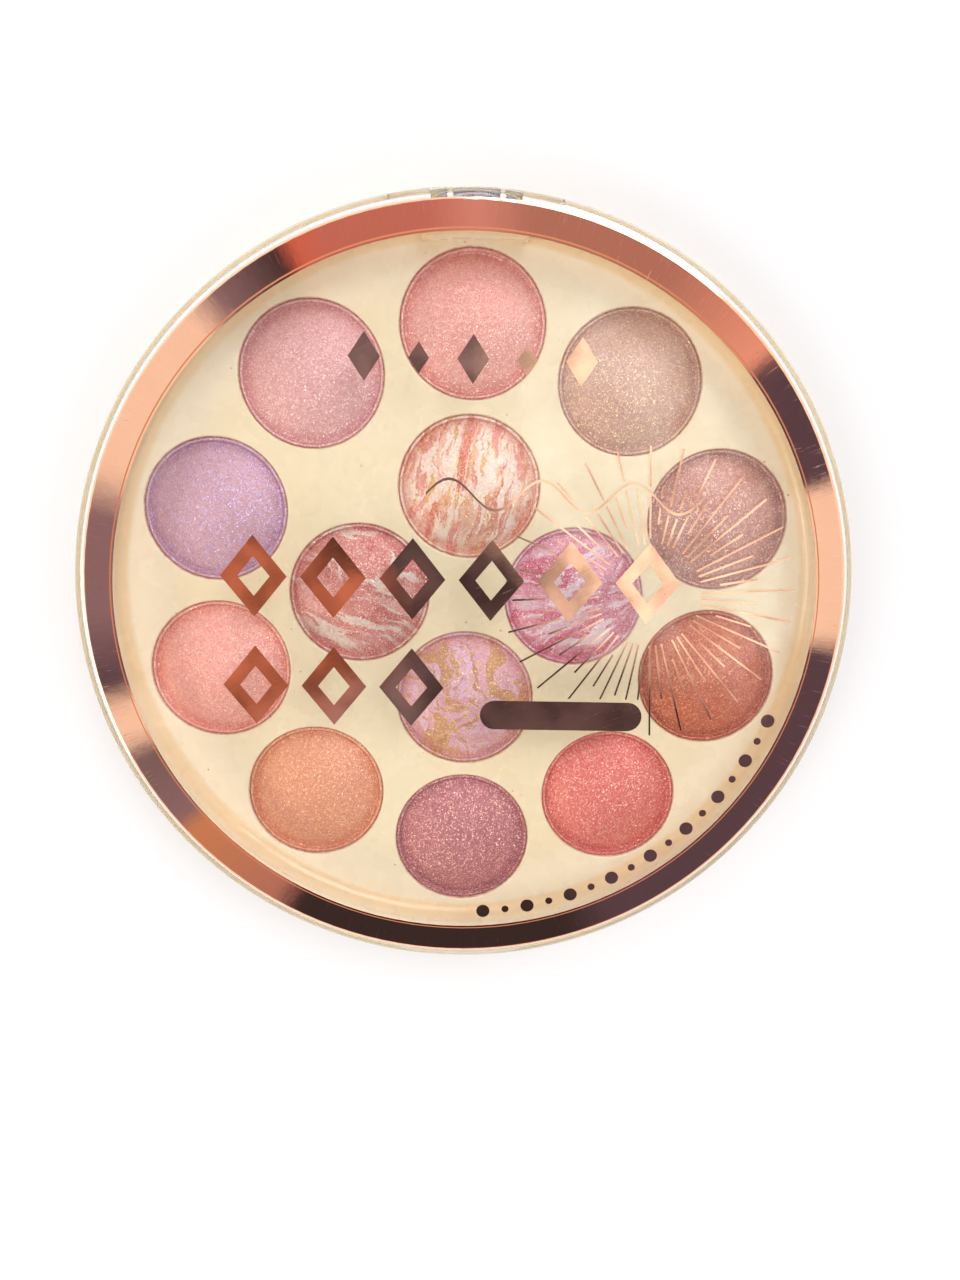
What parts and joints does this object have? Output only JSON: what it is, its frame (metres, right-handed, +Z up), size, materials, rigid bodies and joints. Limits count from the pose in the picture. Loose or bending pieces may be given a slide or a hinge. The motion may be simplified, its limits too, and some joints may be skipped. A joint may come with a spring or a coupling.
{
  "type": "eyeshadow palette",
  "caption": "Round flat palette of domed pressed powders in a cream base, closed by a clear hinged lid with a metallic foil band.",
  "frame": {"origin": "centre of the underside of the round base, on the table", "axes": "+Z up through the lid, +Y towards the hinge, -Y towards the catch and thumb flat, +X to the right seen from the front"},
  "size_m": [0.144, 0.144, 0.0171],
  "materials": {
    "cream_plastic": "glossy",
    "clear_plastic": "clear, polished",
    "foil": "rose-gold hot-stamped foil",
    "pin_steel": "drawn wire",
    "glue": "satin",
    "pan_metal": "pressed sheet",
    "powder_outer_1": "shimmering pressed powder",
    "powder_outer_2": "shimmering pressed powder",
    "powder_outer_3": "shimmering pressed powder",
    "powder_outer_4": "shimmering pressed powder",
    "powder_outer_5": "shimmering pressed powder",
    "powder_outer_6": "shimmering pressed powder",
    "powder_outer_7": "shimmering pressed powder",
    "powder_outer_8": "shimmering pressed powder",
    "powder_outer_9": "shimmering pressed powder",
    "powder_outer_10": "shimmering pressed powder",
    "powder_inner_1": "shimmering pressed powder",
    "powder_inner_2": "shimmering pressed powder",
    "powder_inner_3": "shimmering pressed powder",
    "powder_inner_4": "shimmering pressed powder"
  },
  "bodies": {
    "base": {"base_shell": "cream_plastic", "deck_tray": "cream_plastic", "hinge_pin": "pin_steel", "glue_dots": "glue", "pan_outer_1": "pan_metal", "pan_outer_2": "pan_metal", "pan_outer_3": "pan_metal", "pan_outer_4": "pan_metal", "pan_outer_5": "pan_metal", "pan_outer_6": "pan_metal", "pan_outer_7": "pan_metal", "pan_outer_8": "pan_metal", "pan_outer_9": "pan_metal", "pan_outer_10": "pan_metal", "pan_inner_1": "pan_metal", "pan_inner_2": "pan_metal", "pan_inner_3": "pan_metal", "pan_inner_4": "pan_metal", "powder_outer_1": "powder_outer_1", "powder_outer_2": "powder_outer_2", "powder_outer_3": "powder_outer_3", "powder_outer_4": "powder_outer_4", "powder_outer_5": "powder_outer_5", "powder_outer_6": "powder_outer_6", "powder_outer_7": "powder_outer_7", "powder_outer_8": "powder_outer_8", "powder_outer_9": "powder_outer_9", "powder_outer_10": "powder_outer_10", "powder_inner_1": "powder_inner_1", "powder_inner_2": "powder_inner_2", "powder_inner_3": "powder_inner_3", "powder_inner_4": "powder_inner_4"},
    "lid": {"lid": "clear_plastic", "foil_ring": "foil", "foil_sunburst": "foil", "foil_ornaments": "foil"}
  },
  "joints": [
    {"name": "lid_hinge", "type": "hinge", "parent": "base", "child": "lid", "pos_m": [0, 0.0705, 0.0087], "axis": [-1, 0, 0], "range_deg": [0, 110]}
  ]
}
